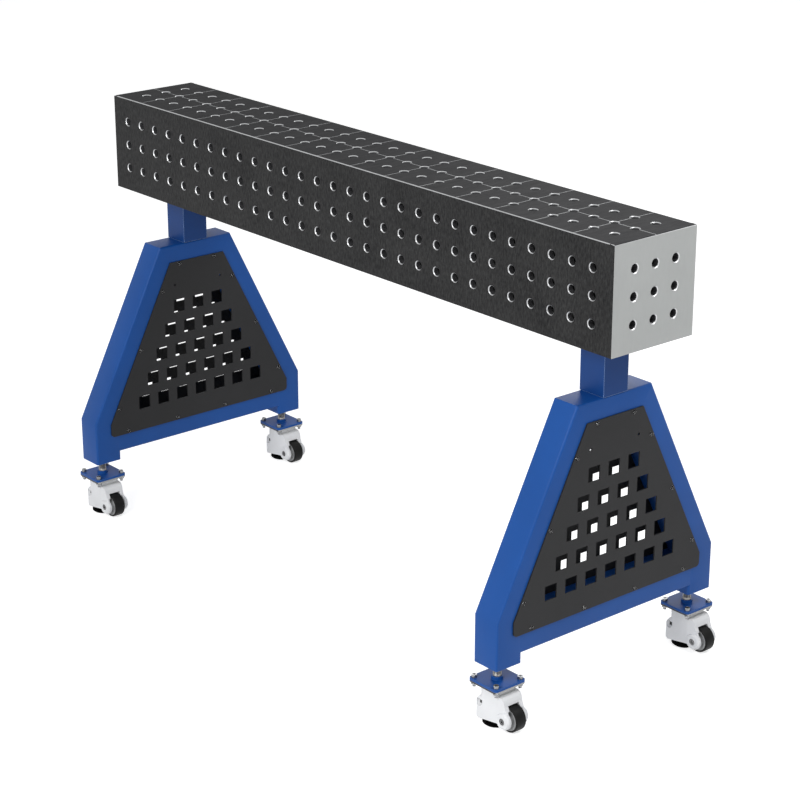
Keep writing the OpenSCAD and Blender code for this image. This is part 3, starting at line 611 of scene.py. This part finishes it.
def tube_piece(name, half, stations, open_ends, replaced):
    """A square tube through stations, each a centre and the way that a mitre turns its outer side.

    Every section lies along X. An open end shows the tube's wall, the others are welded to the
    next tube.
    """
    outer = tube_section(half)
    inner = [(a * (half - TUBE_WALL) / half, b * (half - TUBE_WALL) / half) for a, b in outer]
    bm = bmesh.new()

    def rings(section):
        return [[bm.verts.new(Vector(centre) + Vector((a, 0, 0)) + Vector(out) * b) for a, b in section]
                for centre, out in stations]
    outside, inside = rings(outer), rings(inner)
    join_rings(bm, outside)
    join_rings(bm, inside)
    for at, is_open in zip((0, -1), open_ends):
        if is_open:
            join_rings(bm, [outside[at], inside[at]])
    new_piece(name, mesh_from(bm, name), "frame", "blue_paint", BLUE, replaced=replaced)


def bend_height(inner_bend, foot_half, top_half, top_z, tube):
    """Height of a post's outer bend, from that of its inner one: they lie on one mitre."""
    height = inner_bend
    for _ in range(BEND_STEPS):
        lean = math.atan2(foot_half - top_half, top_z - height)
        height = inner_bend + tube * math.tan(lean / 2)
    return height


def stands():
    """Rounded square tubes in place of the stands' sharp ones, from the posts' and rails' own boxes."""
    for side in ("left", "right"):
        post_low, post_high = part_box(f"{side}_rear_post")
        x = (post_low.x + post_high.x) / 2
        tube = post_high.x - post_low.x
        half = tube / 2
        top_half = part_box("top_rails")[1].y
        top_z = post_high.z
        rail_low, rail_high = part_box("bottom_rails")
        foot_half = post_high.y
        # The post's inner corner is at the bottom rail's upper edge.
        inner_bend = rail_high.z
        outer_bend = bend_height(inner_bend, foot_half, top_half, top_z, tube)
        lean = math.atan2(foot_half - top_half, top_z - outer_bend)
        mid_y = foot_half - half
        bend = Vector((x, mid_y, (outer_bend + inner_bend) / 2))
        bend_out = (Vector((x, foot_half, outer_bend)) - bend) / half
        inner_top_y = top_half - tube / math.tan((math.pi / 2 + lean) / 2)
        top = Vector((x, (top_half + inner_top_y) / 2, top_z - half))
        top_out = (Vector((x, top_half, top_z)) - top) / half
        for end, way in (("front", -1), ("rear", 1)):
            turn = Vector((1, way, 1))
            post = [(Vector((x, mid_y, post_low.z)) * turn, (0, way, 0)),
                    (bend * turn, bend_out * turn), (top * turn, top_out * turn)]
            tube_piece(f"{side}_{end}_post_tube", half, post, (True, False), (f"{side}_{end}_post",))
        flip = Vector((1, -1, 1))
        top_rail = [(top * flip, top_out * flip), (top, top_out)]
        tube_piece(f"{side}_top_rail_tube", half, top_rail, (False, False),
                   ("top_rails",) if side == "left" else ())
        # The welds fill the posts' rounded corners, so the rail runs into them.
        mid_z = (rail_low.z + rail_high.z) / 2
        bottom_rail = [((x, y, mid_z), (0, 0, 1)) for y in (rail_low.y - TUBE_R, rail_high.y + TUBE_R)]
        tube_piece(f"{side}_bottom_rail_tube", half, bottom_rail, (False, False),
                   ("bottom_rails",) if side == "left" else ())


stands()


# Feet
THREAD_PITCH = 2 * MM
THREAD_DEPTH = 1.0 * MM
THREAD_SIDES = 32
THREAD_RINGS = 8
THREAD_ANGLE = 50
RUNOUT_DEPTH = 0.3 * MM
PLAIN_L = 3.5 * MM
SEAT_R = 6 * MM
LATHE_SIDES = 96
TURNED_ANGLE = 35
TYRE_BEVEL, TYRE_ROUND = 0.8 * MM, 3.2 * MM
TYRE_STEPS, CORE_STEPS = 8, 4
AXLE_HOLE_R, HUB_R, HUB_FOOT_R = 4.05 * MM, 8.6 * MM, 9.2 * MM
WEB_HALF, WEB_R = 7 * MM, 12.5 * MM
RING_T, RING_BACK = 1.0 * MM, 1.2 * MM
HUB_ROUND, WEB_ROUND, RING_ROUND = 0.6 * MM, 1.5 * MM, 0.8 * MM


def turned(half_outline, steps, centre, name):
    """A wheel about a line along Y through centre.

    half_outline has (radius, along, rounding) points on its front half, and the rear half mirrors it.
    """
    outline = half_outline + [(r, -along, rounding) for r, along, rounding in reversed(half_outline)]
    bm = bmesh.new()
    rings = [[bm.verts.new(centre + Vector((x, along, z))) for x, z in circle_points(r, LATHE_SIDES)]
             for r, along in rounded(outline, steps)]
    join_rings(bm, rings + rings[:1])
    return mesh_from(bm, name, TURNED_ANGLE)


def rounded(outline, steps):
    """The closed outline through (x, y, rounding) points, with its corners rounded."""
    out = []
    points = [Vector(point[:2]) for point in outline]
    for i, here in enumerate(points):
        r = outline[i][2]
        if not r:
            out.append(tuple(here))
            continue
        back = (points[i - 1] - here).normalized()
        on = (points[(i + 1) % len(points)] - here).normalized()
        half_angle = back.angle(on) / 2
        reach = r / math.tan(half_angle)
        centre = here + (back + on).normalized() * (r / math.sin(half_angle))
        first, last = here + back * reach - centre, here + on * reach - centre
        total = first.angle_signed(last)
        for k in range(steps + 1):
            arm = first.copy()
            arm.rotate(Matrix.Rotation(-total * k / steps, 2))
            out.append(tuple(centre + arm))
    return out


def spindle_mesh(foot, low, high, r, seat):
    """A threaded spindle that stands at low, on a plain seat that runs down to foot.

    The thread is real, so it catches the light as it turns, and it runs out at both ends.
    """
    bm = bmesh.new()
    count = int((high - low - PLAIN_L) / THREAD_PITCH * THREAD_RINGS)
    plain = ((seat, foot), (seat, low), (r, low), (r, low + PLAIN_L - RUNOUT_DEPTH))
    rings = [[bm.verts.new((x, y, z)) for x, y in circle_points(radius, THREAD_SIDES)] for radius, z in plain]
    for step in range(count + 1):
        z = low + PLAIN_L + step * THREAD_PITCH / THREAD_RINGS
        fade = min(1.0, (count - step) / THREAD_RINGS, step / THREAD_RINGS)
        ring = []
        for i in range(THREAD_SIDES):
            turn = i / THREAD_SIDES
            phase = (step / THREAD_RINGS - turn) % 1.0
            depth = THREAD_DEPTH * abs(2 * phase - 1)
            reach = r - depth * fade - (1 - fade) * RUNOUT_DEPTH
            angle = 2 * math.pi * turn
            ring.append(bm.verts.new((reach * math.cos(angle), reach * math.sin(angle), z)))
        rings.append(ring)
    join_rings(bm, rings)
    bm.faces.new(list(reversed(rings[0])))
    bm.faces.new(rings[-1])
    return mesh_from(bm, "spindle_thread", THREAD_ANGLE)


def feet():
    """Threaded spindles and turned wheels, one mesh each for all four feet."""
    low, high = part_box(f"{FEET[0]}_spindle")
    spindle = spindle_mesh(low.z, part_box(f"{FEET[0]}_foot_plate")[1].z, high.z, (high.x - low.x) / 2, SEAT_R)
    tyre_low, tyre_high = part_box(f"{FEET[0]}_tyre")
    hub = (tyre_low + tyre_high) / 2 - foot_place(FEET[0])
    wheel_r, half_w = (tyre_high.z - tyre_low.z) / 2, (tyre_high.y - tyre_low.y) / 2
    core_low, core_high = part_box(f"{FEET[0]}_wheel_core")
    core_r, hub_w = (core_high.z - core_low.z) / 2, (core_high.y - core_low.y) / 2
    tyre = turned([(core_r, TYRE_BEVEL - half_w, 0), (core_r + TYRE_BEVEL, -half_w, 0),
                   (wheel_r, -half_w, TYRE_ROUND)], TYRE_STEPS, hub, "tyre_turned")
    lip = half_w - RING_BACK
    core = turned([(AXLE_HOLE_R, -hub_w, 0), (HUB_R, -hub_w, HUB_ROUND), (HUB_FOOT_R, -WEB_HALF, WEB_ROUND),
                   (WEB_R, -WEB_HALF, WEB_ROUND), (core_r - RING_T, -lip, RING_ROUND), (core_r, -lip, 0)],
                  CORE_STEPS, hub, "wheel_core_turned")
    for foot in FEET:
        for mesh, part, body, slot, material in (
                (spindle, "spindle", "spindle", "bright_steel", SPINDLE_STEEL),
                (tyre, "tyre", "wheel", "tyre", TYRE), (core, "wheel_core", "wheel", "wheel_core", CORE)):
            new_piece(f"{foot}_{part}_shape", mesh, f"{foot}_{body}_body", slot, material,
                      place=foot_place(foot), replaced=(f"{foot}_{part}",))


feet()


# Carried-over nodes
HOUSING_ANGLE = 25
NODE_MATERIALS = {
    "beam_bottom_plate": DARK_SIDE, "beam_ribs": DARK_INSIDE, "masts": SHADED_MAST_BLUE, "mast_bolts": ZINC,
    "left_outer_panel": PANEL, "left_inner_panel": PANEL, "right_inner_panel": PANEL,
    "right_outer_panel": PANEL, "panel_screws": SCREW_STEEL, "post_end_plates": BLUE}
FOOT_MATERIALS = {
    "foot_plate": PLATE_BLUE, "foot_bolts": ZINC, "caster_plate": GREY_PLATE, "axle": AXLE_STEEL,
    "housing": WHITE, "thumbwheel": THUMB, "level_foot": PAD}
for foot in FEET:
    for part, material in FOOT_MATERIALS.items():
        NODE_MATERIALS[f"{foot}_{part}"] = material
for name, material in NODE_MATERIALS.items():
    mesh = NODES[name].data
    mesh.materials.clear()
    mesh.materials.append(material)
    smooth_by_angle(mesh, HOUSING_ANGLE if name.endswith("housing") else SMOOTH_ANGLE)


# Light and floor
FLOOR_GLOW = 0.65
FLOOR_HALF = 12.0
FLOOR_DARK, FLOOR_LIGHT = (0.78, 0.78, 0.78, 1), (0.8, 0.8, 0.8, 1)
SOFT_COLOUR, SOFT_STRENGTH = (0.97, 0.98, 1.0, 1), 0.42
WHITE_COLOUR, WHITE_STRENGTH = (1, 1, 1, 1), 1.0


def area_light(name, place, target, size, power):
    """A rectangular lamp at place that faces target, in metres and watts."""
    data = bpy.data.lights.new(name, "AREA")
    data.shape = "RECTANGLE"
    data.size, data.size_y = size
    data.energy = power
    lamp = bpy.data.objects.new(name, data)
    lamp.location = place
    lamp.rotation_euler = (Vector(target) - Vector(place)).to_track_quat("-Z", "Y").to_euler()
    scene.collection.objects.link(lamp)


def seen_directly(tree):
    """1 for the rays that show the background: camera, glossy and transmission rays."""
    path = tree.nodes.new("ShaderNodeLightPath")
    seen = path.outputs["Is Camera Ray"]
    for ray in ("Is Glossy Ray", "Is Transmission Ray"):
        either = tree.nodes.new("ShaderNodeMath")
        either.operation = "MAXIMUM"
        tree.links.new(seen, either.inputs[0])
        tree.links.new(path.outputs[ray], either.inputs[1])
        seen = either.outputs[0]
    return seen


def world():
    """A soft even light that shows as plain white."""
    made = bpy.data.worlds.new("studio")
    scene.world = made
    made.use_nodes = True
    tree = made.node_tree
    soft = tree.nodes["Background"]
    soft.inputs["Color"].default_value = SOFT_COLOUR
    soft.inputs["Strength"].default_value = SOFT_STRENGTH
    white = tree.nodes.new("ShaderNodeBackground")
    white.inputs["Color"].default_value = WHITE_COLOUR
    white.inputs["Strength"].default_value = WHITE_STRENGTH
    mix = tree.nodes.new("ShaderNodeMixShader")
    tree.links.new(seen_directly(tree), mix.inputs[0])
    tree.links.new(soft.outputs[0], mix.inputs[1])
    tree.links.new(white.outputs[0], mix.inputs[2])
    tree.links.new(mix.outputs[0], tree.nodes["World Output"].inputs["Surface"])


def floor():
    """A wide pale floor that shows as white, less where the trestle shades it."""
    bm = bmesh.new()
    bmesh.ops.create_grid(bm, x_segments=1, y_segments=1, size=FLOOR_HALF)
    mesh = bpy.data.meshes.new("floor")
    bm.to_mesh(mesh)
    bm.free()
    made = bpy.data.objects.new("floor", mesh)
    scene.collection.objects.link(made)
    s = Shader("floor", Roughness=0.9, Specular_IOR_Level=0.1)
    glow = s.math("MULTIPLY", seen_directly(s.tree), FLOOR_GLOW)
    s.set(Base_Color=s.ramp(s.noise(3.0), (0.3, FLOOR_DARK), (0.7, FLOOR_LIGHT)),
          Emission_Color=WHITE_COLOUR, Emission_Strength=glow)
    mesh.materials.append(s.material)


world()
floor()
area_light("key", (0.8, -3.4, 2.5), (0.0, 0.0, 0.45), (2.2, 1.6), 90)
area_light("low", (1.5, -3.1, 0.3), (0.5, 0.1, 0.05), (1.4, 0.5), 11)
area_light("side", (4.2, -0.4, 1.6), (0.3, 0.0, 0.5), (1.8, 1.8), 15)
area_light("near_top", (1.5, 0.5, 1.9), (0.6, 0.0, 0.88), (0.9, 0.9), 14)
area_light("behind", (-1.9, 2.7, 1.95), (0.7, 0.0, 0.88), (1.2, 1.2), 12)
